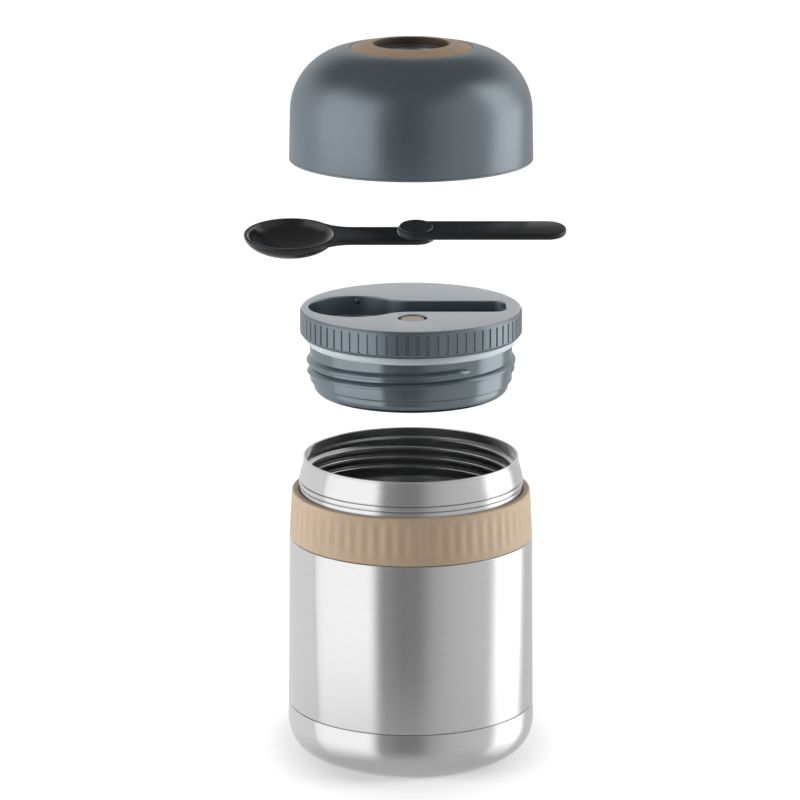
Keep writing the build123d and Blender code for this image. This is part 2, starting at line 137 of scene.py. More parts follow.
def applied(piece, kind, **settings):
    makeActive(piece)
    modifier = piece.modifiers.new(kind.title(), kind)
    for name, value in settings.items():
        setattr(modifier, name, value)
    bpy.ops.object.modifier_apply(modifier=modifier.name)


def softened(piece, rounding):
    width, segments = rounding
    applied(
        piece, "BEVEL", width=width * mm, segments=segments, limit_method="ANGLE", angle_limit=sharp
    )


def combine(piece, other, operation):
    applied(piece, "BOOLEAN", object=other, operation=operation, solver="EXACT")
    bpy.data.objects.remove(other)
    return piece


def joined(piece, *others):
    makeActive(piece)
    for other in others:
        other.select_set(True)
    bpy.ops.object.join()
    return piece


def moved(piece, x, y):
    makeActive(piece)
    bpy.ops.object.mode_set(mode="EDIT")
    bpy.ops.mesh.select_all(action="SELECT")
    bpy.ops.transform.translate(value=(x * mm, y * mm, 0))
    bpy.ops.object.mode_set(mode="OBJECT")
    return piece


def aroundAngle(where):
    return degrees(atan2(where.y, where.x))


def finished(piece, node, body, angle=35):
    makeActive(piece)
    bpy.ops.object.shade_smooth_by_angle(angle=radians(angle))
    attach(piece, body)
    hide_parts(node)
    print("made", piece.name, len(piece.data.polygons))
    return piece


thread = {
    "lead": 7.6, "starts": 2, "steps": 128, "root": 38.5, "crest": 39.8, "rise": (1.8, 0.25),
    "fall": (0.8, 0.5), "endAngle": 306.0, "endHeight": 156.1, "sweep": 320.0, "fades": (9, 3),
    "buried": 0.3, "foot": 0.15, "knee": 0.1, "softness": 0.4, "softSteps": 3, "tip": 0.05,
    "ridgeCrest": 38.9, "ridgeHalf": (0.95, 0.35), "ridgeFrom": 99.0, "ridgeTurns": 1.7,
    "ridgeFades": (9, 48), "travel": 47.4,
}


def threadRidge(name, wall, crest, start, startHeight, turns, rise, fall, fades):
    # a ridge's section, screwed up round Z; its ends run out into the wall
    lead, starts, tip = thread["lead"], thread["starts"], thread["tip"]
    reach = crest - wall
    hidden = wall - thread["buried"] * reach / abs(reach)
    knee = wall + thread["knee"] * reach
    section = [
        (hidden, -fall[0] - thread["foot"]), (knee, -fall[0]), (crest, -fall[1]), (crest, rise[1]),
        (knee, rise[0]), (hidden, rise[0] + thread["foot"]),
    ]
    points = [Vector((radius, 0, height)) for radius, height in section]
    soft = ((fall[1] + rise[1]) * thread["softness"], thread["softSteps"])
    count = int(thread["steps"] * turns)
    ridges = []
    for number in range(starts):
        piece = drawFace(f"{name}{number}", points)
        roundCorners(points, [None, None, soft, soft, None, None])
        bpy.ops.object.mode_set(mode="OBJECT")
        applied(
            piece, "SCREW", angle=2 * pi * turns, screw_offset=lead * turns * mm,
            steps=count, render_steps=count, axis="Z", use_merge_vertices=False,
        )
        bpy.ops.object.mode_set(mode="EDIT")
        # the screw leaves its ends open, so each end is drawn into the wall and closed
        rowSize = len(piece.data.vertices) // (count + 1)
        for row in (*range(fades[0]), *range(count - fades[1] + 1, count + 1)):
            fromEnd = row / fades[0] if row < fades[0] else (count - row) / fades[1]
            size = tip + (1 - tip) * sin(pi / 2 * fromEnd)
            turn = 2 * pi * turns * row / count
            height = lead * turns * row / count
            centre = Vector((hidden * cos(turn), hidden * sin(turn), height)) * mm
            low, high = row * rowSize, (row + 1) * rowSize
            pick("verts", lambda v: low <= v.index < high)
            bpy.ops.transform.resize(value=(size,) * 3, center_override=centre)
        bpy.ops.mesh.select_all(action="SELECT")
        bpy.ops.mesh.select_non_manifold(extend=False)
        bpy.ops.mesh.edge_face_add()
        bpy.ops.mesh.select_all(action="SELECT")
        bpy.ops.mesh.normals_make_consistent(inside=False)
        spun = Matrix.Rotation(radians(start + 360 * number / starts), 4, "Z")
        bpy.ops.object.mode_set(mode="OBJECT")
        piece.data.transform(Matrix.Translation((0, 0, startHeight * mm)) @ spun)
        ridges.append(piece)
    return joined(*ridges)


# what the jar's pieces share
jar = {
    "sheet": 0.6, "radius": 47.5, "seamRadius": 47.3, "seam": 18.2, "seamGap": 0.22,
    "seamEdge": (0.3, 3), "bandBottom": 84.45, "shoulder": 46.65, "neck": 42.75,
    "lipRadius": 41.2, "lip": 115.7, "lipThick": 0.55, "steps": 256,
}
base = {
    "cornerWide": 8.0, "cornerHigh": 12.0, "cornerSteps": (20, 12), "disc": 30.0, "discHigh": 0.5,
    "discEdge": (0.3, 3), "sleeveGap": 0.05, "sleeveUp": 2.8, "sleeveDown": 1.5,
}


def ellipseCorner(middle, high, wide, tall, count):
    # quarter ellipse from the floor's edge up to the wall
    return [
        (middle + wide * sin(pi / 2 * step / count), high - tall * cos(pi / 2 * step / count))
        for step in range(count + 1)
    ]


def makeBaseCup():
    sheet, seam, seamRadius = jar["sheet"], jar["seam"], jar["seamRadius"]
    disc, discHigh = base["disc"], base["discHigh"]
    wide, high = base["cornerWide"], base["cornerHigh"]
    middle = jar["radius"] - wide
    outside = ellipseCorner(middle, high, wide, high, base["cornerSteps"][0])
    inside = ellipseCorner(middle, high, wide - sheet, high - sheet, base["cornerSteps"][1])
    rim = seam - jar["seamGap"] / 2
    sleeve = seamRadius - sheet - base["sleeveGap"]  # it stands up inside the shell
    corners = [
        (0, discHigh), (disc, discHigh), (disc, 0, *base["discEdge"]), *outside,
        (seamRadius, rim, *jar["seamEdge"]), (sleeve, rim), (sleeve, seam + base["sleeveUp"]),
        (sleeve - sheet, seam + base["sleeveUp"]), (sleeve - sheet, seam - base["sleeveDown"]),
        *inside[::-1], (disc + sheet, sheet), (disc + sheet, discHigh + sheet),
        (0, discHigh + sheet),
    ]
    piece = turned("baseCup", corners, jar["steps"])
    return finished(piece, "base_cup", "jar")


shell = {
    "stepGap": 0.1, "stepEdge": (0.5, 3), "seat": 44.2, "seatTop": 101.1,
    "seatSlope": ((0.25, 101.8), (0.05, 102.6)), "bead": 105.5, "beadHalf": 0.95,
    "beadRadius": 43.0, "beadSlope": 0.1, "beadEdge": (0.12, 3), "groove": 0.6,
    "grooveTop": 0.4, "grooveFloor": (0.28, 0.04), "grooveEdge": (0.08, 2), "taperFrom": 107.6,
    "taperTo": 113.2, "taperRound": (6.0, 8), "taperInside": (0.2, 0.4), "neckInside": 0.35,
    "seatInside": (100.8, 100.0, 83.4, 82.8),
}


def beadSide(side):
    # the groove beside the neck's bead and the bead's edge; side is -1 below it and 1 above it
    edge = shell["bead"] + side * shell["beadHalf"]
    return [
        (jar["neck"], edge + side * shell["grooveTop"], *shell["grooveEdge"]),
        *[(jar["neck"] - shell["groove"], edge + side * out) for out in shell["grooveFloor"]],
        (shell["beadRadius"], edge - side * shell["beadSlope"], *shell["beadEdge"]),
    ]


def makeOuterShell():
    sheet, neck, seamHigh = jar["sheet"], jar["neck"], jar["seam"] + jar["seamGap"] / 2
    step, lipFoot = jar["bandBottom"] - shell["stepGap"], jar["lip"] - jar["lipThick"]
    mouth = jar["lipRadius"] - jar["lipThick"]
    thin = neck - sheet - shell["neckInside"]
    neckLow, seatHigh, seatLow, shoulderHigh = shell["seatInside"]
    corners = [
        (jar["seamRadius"] - sheet, seamHigh), (jar["seamRadius"], seamHigh, *jar["seamEdge"]),
        (jar["shoulder"], step, *shell["stepEdge"]), (shell["seat"], step),
        (shell["seat"], shell["seatTop"]),
        *[(neck + out, height) for out, height in shell["seatSlope"]],
        *beadSide(-1), *beadSide(1)[::-1],
        (neck, shell["taperFrom"], *shell["taperRound"]),
        (jar["lipRadius"], shell["taperTo"], *shell["taperRound"]), (jar["lipRadius"], lipFoot),
        (mouth, lipFoot), (mouth, shell["taperTo"] - shell["taperInside"][0]),
        (thin, shell["taperFrom"] - shell["taperInside"][1]), (thin, neckLow),
        (shell["seat"] - sheet, seatHigh), (shell["seat"] - sheet, seatLow),
        (jar["shoulder"] - sheet, shoulderHigh),
    ]
    piece = turned("outerShell", corners, jar["steps"])
    return finished(piece, "outer_shell", "jar")


liner = {
    "floor": 9.0, "radius": 41.8, "floorRound": (12, 14), "shoulder": 91.0, "throat": 40.1,
    "throatFrom": 96.0, "shoulderRound": (4, 6), "mouth": 40.5, "lipRound": (0.2, 4),
    "lipFootRound": (0.1, 2), "throatOutside": 40.62, "outsideUp": 0.2,
    # above the thread the throat widens in steps, and a second row at each step keeps it flat
    "throatRows": (
        (40.1, 106.8), (40.1, 107.2), (40.3, 108.2), (40.3, 108.5), (40.31, 111.1),
        (40.31, 111.4), (40.48, 112.2), (40.48, 112.5), (40.5, 115.2),
    ),
}


def makeInnerLiner():
    sheet, lip, lipFoot = jar["sheet"], jar["lip"], jar["lip"] - jar["lipThick"]
    floor, radius, throat = liner["floor"], liner["radius"], liner["throat"]
    shoulder, throatFrom = liner["shoulder"], liner["throatFrom"]
    floorRound, floorSteps = liner["floorRound"]
    outside, up, soft = liner["throatOutside"], liner["outsideUp"], liner["shoulderRound"]
    corners = [
        (0, floor), (radius, floor, floorRound, floorSteps), (radius, shoulder, *soft),
        (throat, throatFrom, *soft), *liner["throatRows"],
        (liner["mouth"], lip, *liner["lipRound"]), (jar["lipRadius"], lip, *liner["lipRound"]),
        (jar["lipRadius"], lipFoot, *liner["lipFootRound"]), (outside, lipFoot),
        (outside, throatFrom + up, *soft), (radius + sheet, shoulder + up, *soft),
        (radius + sheet, floor - sheet, floorRound + sheet, floorSteps), (0, floor - sheet),
    ]
    piece = turned("innerLiner", corners, jar["steps"])
    # the neck's ridges lie midway between two rows of the stopper's thread
    row = thread["lead"] / thread["starts"]
    middle = thread["endHeight"] - (round(thread["travel"] / row) + 0.5) * row
    start = thread["endAngle"] - 360 * (middle - thread["ridgeFrom"]) / thread["lead"]
    ridges = threadRidge(
        "neckRidge", throat, thread["ridgeCrest"], start, thread["ridgeFrom"],
        thread["ridgeTurns"], thread["ridgeHalf"], thread["ridgeHalf"], thread["ridgeFades"],
    )
    return finished(joined(piece, ridges), "inner_liner", "jar", 50)


band = {
    "top": 102.64, "topRadius": 45.6, "topRound": (0.7, 5), "bottomRound": (0.35, 4),
    "inside": 44.25, "topInside": 43.1, "topInsideRound": (0.25, 3), "hook": (102.05, 101.2),
    "ribs": 60, "columns": 8, "ribFrom": 86.2, "ribTo": 101.4, "depth": 0.34,
    "rowNear": 0.05, "outsideFrom": 45,
    # how far up the ribs, and the share of their depth there
    "rows": ((0.0, 0.0), (0.1, 0.45), (0.24, 0.9), (0.5, 1.0), (0.76, 0.9), (0.9, 0.45), (1.0, 0.0)),
}


def makeGripBand():
    bottom, shoulder, top = jar["bandBottom"], jar["shoulder"], band["top"]

    def outer(height):
        share = (height - bottom) / (top - bottom)
        return shoulder + (band["topRadius"] - shoulder) * share

    tall = band["ribTo"] - band["ribFrom"]
    heights = [band["ribFrom"] + tall * share for share, deep in band["rows"]]
    hookHigh, hookLow = band["hook"]
    corners = [
        (band["inside"], bottom), (shoulder, bottom, *band["bottomRound"]),
        *[(outer(height), height) for height in heights],
        (band["topRadius"], top, *band["topRound"]),
        (band["topInside"], top, *band["topInsideRound"]),
        (band["topInside"], hookHigh), (band["inside"], hookLow),
    ]
    columns = band["columns"]
    count = band["ribs"] * columns
    piece = turned("gripBand", corners, count)
    openMesh(piece, "VERT")
    for height, (share, deep) in zip(heights, band["rows"]):
        for phase in range(1, columns):

            def isColumn(v):
                outside = hypot(v.co.x, v.co.y) >= band["outsideFrom"] * mm
                if not outside or abs(v.co.z - height * mm) > band["rowNear"] * mm:
                    return False
                return round(aroundAngle(v.co) / 360 * count) % columns == phase

            inwards = band["depth"] * deep * (1 - cos(2 * pi * phase / columns)) / 2
            if inwards and pick("verts", isColumn):
                size = 1 - inwards / outer(height)
                bpy.ops.transform.resize(value=(size, size, 1), center_override=(0, 0, 0))
    bpy.ops.object.mode_set(mode="OBJECT")
    return finished(piece, "grip_band", "jar", 60)


stopper = {
    "top": 173.72, "topRadius": 41.57, "topEdge": (0.6, 5), "brow": 1.2, "browEdge": (0.5, 4),
    "skirt": 42.2, "skirtBottom": 163.24, "bottomRadius": 41.2, "bottomEdge": (0.2, 3),
    "inside": 40.6, "insideEdge": (0.15, 2), "flange": 164.29, "slots": 70, "columns": 4,
    "slotFrom": 164.7, "slotTo": 172.1, "slotDepth": 0.45, "slotLip": (0.08, 0.1),
    "slotTaper": 0.14, "slotRise": 0.15, "riseEdge": (0.5, 3), "rowNear": 1, "outsideFrom": 42,
    "valve": (0.5, -18.4),
}
recess = {
    "bowlX": -21.6, "y": 0.8, "bowl": 17.4, "end": 36.0, "width": 17.8, "corner": 5.0,
    "blend": 14.0, "cornerSteps": 8, "blendSteps": 12, "bowlSteps": 48, "pointGap": 0.05,
    "floor": 165.44, "edge": 0.6, "fillet": 1.0, "roundSteps": 5, "deepFloor": 162.22,
    "deepRadius": 34.1, "deepIn": 1.2, "deepFrom": 166.5, "wall": 1.2, "wallFrom": 165.5,
    "limit": (150, 170),
}
well = {"radius": 5.5, "floor": 166.2, "edge": (0.45, 4), "wide": 7.5, "above": 2, "steps": 96}
nubs = {
    "places": ((-20.6, 18.2), (36.0, 0.8)), "radius": 1.0, "top": 172.72, "tall": 2,
    "edge": (0.5, 4), "steps": 24,
}


def recessOutline(out, height):
    # the recess seen from above, as points round it, moved outwards by out
    half, blend = recess["width"] / 2, recess["blend"]
    rise = half + blend
    run = sqrt((recess["bowl"] + blend) ** 2 - rise**2)
    lean = atan2(rise, run)
    blendX = recess["bowlX"] + run
    cornerX, cornerY = recess["end"] - recess["corner"], half - recess["corner"]
    corner, blended = recess["corner"] + out, blend - out
    arcs = [
        (cornerX, cornerY, corner, 0, pi / 2, recess["cornerSteps"]),
        (blendX, rise, blended, 1.5 * pi, pi + lean, recess["blendSteps"]),
        (recess["bowlX"], 0, recess["bowl"] + out, lean, 2 * pi - lean, recess["bowlSteps"]),
        (blendX, -rise, blended, pi - lean, pi / 2, recess["blendSteps"]),
        (cornerX, -cornerY, corner, -pi / 2, 0, recess["cornerSteps"]),
    ]
    points = []
    for x, y, radius, start, end, count in arcs:
        for step in range(count + 1):
            angle = start + (end - start) * step / count
            across, along = x + radius * cos(angle), recess["y"] + y + radius * sin(angle)
            point = Vector((across, along, height))
            ends = (points[-1], points[0]) if points else ()
            if all((point - other).length > recess["pointGap"] for other in ends):
                points.append(point)
    return points


def insetRound(size, steepFirst):
    # carries the picked face along a quarter circle
    count = recess["roundSteps"]
    for step in range(count):
        here, there = pi / 2 * step / count, pi / 2 * (step + 1) / count
        flat, steep = size * (sin(there) - sin(here)), size * (cos(here) - cos(there))
        across, along = (steep, flat) if steepFirst else (flat, steep)
        bpy.ops.mesh.inset(thickness=across * mm, depth=along * mm)


def recessBlock(name, out, top, bottom, edge=0.0, fillet=0.0):
    # a block of the recess's shape; its top edge flares by edge, its floor is rounded by fillet
    piece = drawFace(name, recessOutline(out + edge, top + 1 if edge else top))
    bpy.ops.mesh.select_mode(type="FACE")
    raised(-1.0 if edge else bottom - top)
    if edge:
        bpy.ops.mesh.select_all(action="SELECT")
        bpy.ops.mesh.normals_make_consistent(inside=False)
        pick("faces", lambda face: face.normal.z < -0.9)
        insetRound(edge, False)
        raised(-(top - bottom - edge - fillet))
        insetRound(fillet, True)
    tidyMesh()
    return piece


def within(radius, block):
    # leaves what lies within the radius
    low, high = recess["limit"]
    limit = turned("deepLimit", [(0, low), (radius, low), (radius, high), (0, high)])
    return combine(block, limit, "INTERSECT")


def makeStopperTop():
    top, skirt, columns = stopper["top"], stopper["skirt"], stopper["columns"]
    slotFrom, slotTo = stopper["slotFrom"], stopper["slotTo"]
    corners = [
        (0, stopper["flange"]), (stopper["inside"], stopper["flange"]),
        (stopper["inside"], stopper["skirtBottom"], *stopper["insideEdge"]),
        (stopper["bottomRadius"], stopper["skirtBottom"], *stopper["bottomEdge"]),
        (skirt, slotFrom - stopper["slotRise"], *stopper["riseEdge"]),
        (skirt, slotFrom), (skirt, slotTo), (skirt, top - stopper["brow"], *stopper["browEdge"]),
        (stopper["topRadius"], top, *stopper["topEdge"]), (0, top),
    ]
    piece = turned("stopperTop", corners, stopper["slots"] * columns)

    def isSlot(face):
        where = face.calc_center_median()
        outside = hypot(where.x, where.y) >= stopper["outsideFrom"] * mm
        if not outside or abs(where.z - (slotFrom + slotTo) / 2 * mm) > stopper["rowNear"] * mm:
            return False
        column = int((aroundAngle(where) % 360) / (360 / stopper["slots"] / columns))
        return column % columns == 0

    openMesh(piece, "FACE")
    pick("faces", isSlot)
    lip, lipDepth = stopper["slotLip"]
    deep = stopper["slotDepth"] - lipDepth
    bpy.ops.mesh.inset(thickness=lip * mm, depth=-lipDepth * mm, use_individual=True)
    bpy.ops.mesh.inset(thickness=stopper["slotTaper"] * mm, depth=-deep * mm, use_individual=True)
    bpy.ops.object.mode_set(mode="OBJECT")
    # the spoon's recess: a wall under its deep part, the recess, then the deep part
    wall, floor, deepFloor = recess["wall"], recess["floor"], recess["deepFloor"]
    deepWall = recessBlock("deepWall", wall, recess["wallFrom"], deepFloor - wall)
    combine(piece, within(recess["deepRadius"] + wall, deepWall), "UNION")
    recessCut = recessBlock("recessCut", 0, top, floor, recess["edge"], recess["fillet"])
    combine(piece, recessCut, "DIFFERENCE")
    deepCut = recessBlock("deepCut", -recess["deepIn"], recess["deepFrom"], deepFloor)
    combine(piece, within(recess["deepRadius"], deepCut), "DIFFERENCE")
    # the valve's well
    above = top + well["above"]
    corners = [
        (0, well["floor"]), (well["radius"], well["floor"]), (well["radius"], top, *well["edge"]),
        (well["wide"], top), (well["wide"], above), (0, above),
    ]
    wellCut = moved(turned("wellCut", corners, well["steps"]), *stopper["valve"])
    combine(piece, wellCut, "DIFFERENCE")
    for place in nubs["places"]:
        low, high, edge = nubs["top"] - nubs["tall"], nubs["top"], nubs["edge"]
        corners = [(0, low), (nubs["radius"], low, *edge), (nubs["radius"], high, *edge), (0, high)]
        joined(piece, moved(turned("nub", corners, nubs["steps"]), *place))
    return finished(piece, "stopper_top", "stopper", 30)


cup = {
    "bottom": 140.73, "foot": 37.2, "footRound": (3.6, 8), "footTop": 145.6, "footEdge": (0.2, 2),
    "wallFrom": 146.1, "wallEdge": (0.3, 3), "seat": 160.2, "seatEdge": (0.2, 3),
    "seatRadius": 37.5, "seatTop": 163.2, "flange": 40.5, "flangeTop": 164.2, "inside": 35.5,
    "insideRound": (2.5, 5), "floorTop": 142.73, "steps": 256, "pocket": 6.2,
    "pocketFrom": 139, "pocketTo": 142.6, "pocketSteps": 64,
}


def makeStopperCup():
    root, lead, sweep = thread["root"], thread["lead"], thread["sweep"]
    corners = [
        (0, cup["bottom"]), (cup["foot"], cup["bottom"], *cup["footRound"]),
        (cup["foot"], cup["footTop"], *cup["footEdge"]), (root, cup["wallFrom"], *cup["wallEdge"]),
        (root, cup["seat"], *cup["seatEdge"]), (cup["seatRadius"], cup["seat"]),
        (cup["seatRadius"], cup["seatTop"]), (cup["flange"], cup["seatTop"]),
        (cup["flange"], cup["flangeTop"]), (cup["inside"], cup["flangeTop"]),
        (cup["inside"], cup["floorTop"], *cup["insideRound"]), (0, cup["floorTop"]),
    ]
    piece = turned("stopperCup", corners, cup["steps"])
    ridge = threadRidge(
        "stopperThread", root, thread["crest"], thread["endAngle"] - sweep,
        thread["endHeight"] - lead * sweep / 360, sweep / 360, thread["rise"], thread["fall"],
        thread["fades"],
    )
    low, high, radius = cup["pocketFrom"], cup["pocketTo"], cup["pocket"]
    corners = [(0, low), (radius, low), (radius, high), (0, high)]
    pocket = moved(turned("pocket", corners, cup["pocketSteps"]), *stopper["valve"])
    combine(piece, pocket, "DIFFERENCE")
    return finished(joined(piece, ridge), "stopper_cup", "stopper", 50)


gasket = {
    "inside": 37.55, "bottom": 39.3, "bottomRound": (0.6, 5), "radius": 39.75, "bulge": 161.6,
    "bulgeRound": (1.0, 4),
}


def makeGasket():
    corners = [
        (gasket["inside"], cup["seat"]), (gasket["bottom"], cup["seat"], *gasket["bottomRound"]),
        (gasket["radius"], gasket["bulge"], *gasket["bulgeRound"]),
        (gasket["radius"], cup["seatTop"]), (gasket["inside"], cup["seatTop"]),
    ]
    return finished(turned("stopperGasket", corners), "stopper_gasket", "gasket")


button = {
    "radius": 4.6, "bottom": 169.6, "bottomEdge": (0.2, 2), "hollow": 3.7, "hollowTop": 171.6,
    "top": 173.4, "topEdge": (0.5, 5), "dish": 3.4, "dishEdge": (0.5, 3), "dishTop": 173.36,
    "dishFloor": 173.1, "steps": 96,
}


def makeValveButton():
    # hollow beneath, so that it sinks over its spring
    corners = [
        (0, button["hollowTop"]), (button["hollow"], button["hollowTop"]),
        (button["hollow"], button["bottom"]),
        (button["radius"], button["bottom"], *button["bottomEdge"]),
        (button["radius"], button["top"], *button["topEdge"]),
        (button["dish"], button["dishTop"], *button["dishEdge"]), (0, button["dishFloor"]),
    ]
    piece = moved(turned("valveButton", corners, button["steps"]), *stopper["valve"])
    return finished(piece, "valve_button", "vent_valve")


# the cap's heights are counted from its rim
cap = {
    "rim": 231.08, "radius": 46.0, "sheet": 1.0, "shellFrom": 0.85, "shellEdge": (0.06, 2),
    "shoulder": 45.6, "shoulderHigh": 18.3, "arc": 24.0, "outsideSteps": 28, "insideSteps": 20,
    "ringSeat": 23.15, "top": 41.2, "insideTop": 40.2, "hollow": 13.9, "hollowFloor": 38.6,
    "hollowRound": (1.2, 5), "hollowUnder": 37.65, "steps": 256,
}


def makeCapShell():
    rim, arc, sheet, hollow = cap["rim"], cap["arc"], cap["sheet"], cap["hollow"]
    middle = cap["shoulder"] - arc

    def domed(radius, end, count):
        return [
            (middle + radius * cos(end * step / count),
             rim + cap["shoulderHigh"] + radius * sin(end * step / count))
            for step in range(count + 1)
        ]

    outside = domed(arc, acos((cap["ringSeat"] - middle) / arc), cap["outsideSteps"])
    insideEnd = asin((cap["insideTop"] - cap["shoulderHigh"]) / (arc - sheet))
    inside = domed(arc - sheet, insideEnd, cap["insideSteps"])
    shellFrom, top, floor = rim + cap["shellFrom"], rim + cap["top"], rim + cap["hollowFloor"]
    under = rim + cap["hollowUnder"]
    corners = [
        (cap["radius"] - sheet, shellFrom), (cap["radius"], shellFrom, *cap["shellEdge"]),
        *outside, (cap["ringSeat"], top), (hollow, top), (hollow, floor, *cap["hollowRound"]),
        (0, floor), (0, under), (hollow + sheet, under), (hollow + sheet, rim + cap["insideTop"]),
        *inside[::-1],
    ]
    piece = turned("capShell", corners, cap["steps"])
    return finished(piece, "cap_shell", "cap", 40)


bowl = {
    "radius": 43.5, "rimRound": (0.35, 4), "edge": (0.12, 3), "rimThick": 0.75,
    "upperEdge": (0.06, 2), "floor": 36.6, "floorRound": 19, "floorSteps": 16,
}


def makeCapLiner():
    rim, sheet, radius = cap["rim"], cap["sheet"], bowl["radius"]
    rimTop, floor = rim + bowl["rimThick"], rim + bowl["floor"]
    soft, steps = bowl["floorRound"], bowl["floorSteps"]
    corners = [
        (radius, rim, *bowl["rimRound"]), (cap["radius"], rim, *bowl["edge"]),
        (cap["radius"], rimTop, *bowl["upperEdge"]), (radius + sheet, rimTop),
        (radius + sheet, floor + sheet, soft + sheet, steps), (0, floor + sheet),
        (0, floor), (radius, floor, soft, steps),
    ]
    piece = turned("capLiner", corners, cap["steps"])
    return finished(piece, "cap_liner", "cap", 40)


ring = {
    "inside": 13.95, "radius": 23.1, "edgeTop": 42.1, "crownWide": 8.5, "crownHigh": 1.7,
    "crownSteps": 10, "fullness": 0.9, "insideTop": 43.75, "insideEdge": (0.5, 4),
}


def makeCapRing():
    rim, count, wide = cap["rim"], ring["crownSteps"], ring["crownWide"]
    crown = [
        (ring["radius"] - wide * step / count, rim + ring["edgeTop"]
         + ring["crownHigh"] * sin(pi / 2 * step / count) ** ring["fullness"])
        for step in range(1, count + 1)
    ]
    corners = [
        (ring["inside"], rim + cap["top"]), (ring["radius"], rim + cap["top"]),
        (ring["radius"], rim + ring["edgeTop"]), *crown,
        (ring["inside"], rim + ring["insideTop"], *ring["insideEdge"]),
    ]
    return finished(turned("capRing", corners), "cap_ring", "cap", 50)


spoon = {
    "pivot": (1.6, -64.0, 215.75), "lean": 10.2, "tip": 62.6, "bowlLong": 33.7, "bowlWide": 30.6,
    "deep": 7.6, "wall": 1.2, "bowlEdge": (0.3, 3), "strap": 13.7, "strapThick": 1.7,
    "strapDrop": 0.02, "strapEdge": (0.25, 3), "neckFrom": 6.0, "blend": 16.0, "rimSteps": 8,
    "blendSteps": 14, "endSteps": 24, "hollowIn": 1.9, "hollowUp": 1.0, "ball": (96, 48),
}
handle = {
    "reach": 54.6, "wide": 13.5, "thick": 2.4, "gap": 0.1, "endFlat": 0.02, "endSteps": 20,
    "edge": (0.8, 4),
}
rivet = {
    "radius": 1.95, "foot": -1.75, "footThick": 0.7, "footRadius": 3.6, "footEdge": (0.3, 3),
    "head": 6.1, "headFrom": 2.55, "headHigh": 0.7, "headEdge": (0.5, 5), "steps": 64,
}


def hung(piece):
    # from the spoon's own flat frame, pivot at the origin, to where it hangs
    turn = Matrix.Rotation(radians(spoon["lean"]), 4, "X")
    piece.data.transform(Matrix.Translation(Vector(spoon["pivot"]) * mm) @ turn)
    return piece


def makeHandle():
    half, reach = handle["wide"] / 2, handle["reach"]
    sides = ((-half, -half), (reach, -half), (reach, half), (-half, half))
    points = [Vector((x, y, handle["gap"])) for x, y in sides]
    piece = drawFace("spoonHandle", points)
    roundCorners(points, [(half - handle["endFlat"], handle["endSteps"])] * 4)
    bpy.ops.mesh.select_mode(type="FACE")
    bpy.ops.mesh.select_all(action="SELECT")
    raised(handle["thick"])
    tidyMesh()
    softened(piece, handle["edge"])
    return finished(hung(piece), "spoon_handle", "handle", 40)


def stretchedBall(name, long, wide, deep, middle):
    startAfresh()
    segments, rings = spoon["ball"]
    bpy.ops.mesh.primitive_uv_sphere_add(segments=segments, ring_count=rings, radius=1.0)
    piece = bpy.context.object
    piece.name = piece.data.name = name
    bpy.ops.object.mode_set(mode="EDIT")
    bpy.ops.mesh.select_all(action="SELECT")
    size = (long / 2 * mm, wide / 2 * mm, deep * mm)
    bpy.ops.transform.resize(value=size, center_override=(0, 0, 0))
    bpy.ops.transform.translate(value=(middle * mm, 0, 0))
    tidyMesh()
    return piece


def neckOutline(middle):
    # the rim, then the curve that leaves it for the strap, then the strap's round end
    long, wide, half = spoon["bowlLong"] / 2, spoon["bowlWide"] / 2, spoon["strap"] / 2
    blend, rimSteps, blendSteps = spoon["blend"], spoon["rimSteps"], spoon["blendSteps"]

    def onRim(turn, out=0.0):
        x, y = cos(turn) / long, sin(turn) / wide
        size = hypot(x, y)
        return long * cos(turn) + out * x / size, wide * sin(turn) + out * y / size

    # halving finds where a curve of the blend's radius touches both rim and strap
    low, high = 0.05, acos(spoon["neckFrom"] / long)
    first = high
    for halving in range(40):
        turn = (low + high) / 2
        low, high = (turn, high) if onRim(turn, blend)[1] < half + blend else (low, turn)
    centre, foot = onRim(turn, blend), onRim(turn)
    tilt = atan2(foot[1] - centre[1], foot[0] - centre[0])
    side = [onRim(first + (turn - first) * step / rimSteps) for step in range(rimSteps + 1)]
    for step in range(1, blendSteps + 1):
        angle = tilt + (-pi / 2 - tilt) * step / blendSteps
        side.append((centre[0] + blend * cos(angle), centre[1] + blend * sin(angle)))
    side = [(middle + x, y) for x, y in side]
    count = spoon["endSteps"]
    end = [(half * sin(pi * step / count), half * cos(pi * step / count)) for step in range(1, count)]
    whole = side + [(0, half)] + end + [(0, -half)] + [(x, -y) for x, y in side[::-1]]
    return [Vector((x, y, -spoon["strapThick"])) for x, y in whole]


def makeSpoonBowl():
    long, wide, deep = spoon["bowlLong"], spoon["bowlWide"], spoon["deep"]
    middle, smaller = long / 2 - spoon["tip"], spoon["hollowIn"]
    piece = stretchedBall("spoonBowl", long, wide, deep, middle)
    makeActive(piece)
    bpy.ops.object.mode_set(mode="EDIT")
    bpy.ops.mesh.select_all(action="SELECT")
    bpy.ops.mesh.bisect(plane_co=(0, 0, 0), plane_no=(0, 0, 1), clear_outer=True)
    tidyMesh()
    applied(piece, "SOLIDIFY", thickness=spoon["wall"] * mm, offset=-1.0, use_rim=True)
    softened(piece, spoon["bowlEdge"])
    strap = drawFace("spoonNeck", neckOutline(middle))
    bpy.ops.mesh.select_mode(type="FACE")
    bpy.ops.mesh.select_all(action="SELECT")
    raised(spoon["strapThick"] - spoon["strapDrop"])
    tidyMesh()
    softened(strap, spoon["strapEdge"])
    inner = stretchedBall("inner", long - smaller, wide - smaller, deep - spoon["hollowUp"], middle)
    combine(strap, inner, "DIFFERENCE")
    joined(piece, strap)
    return finished(hung(piece), "spoon_bowl", "spoon", 40)


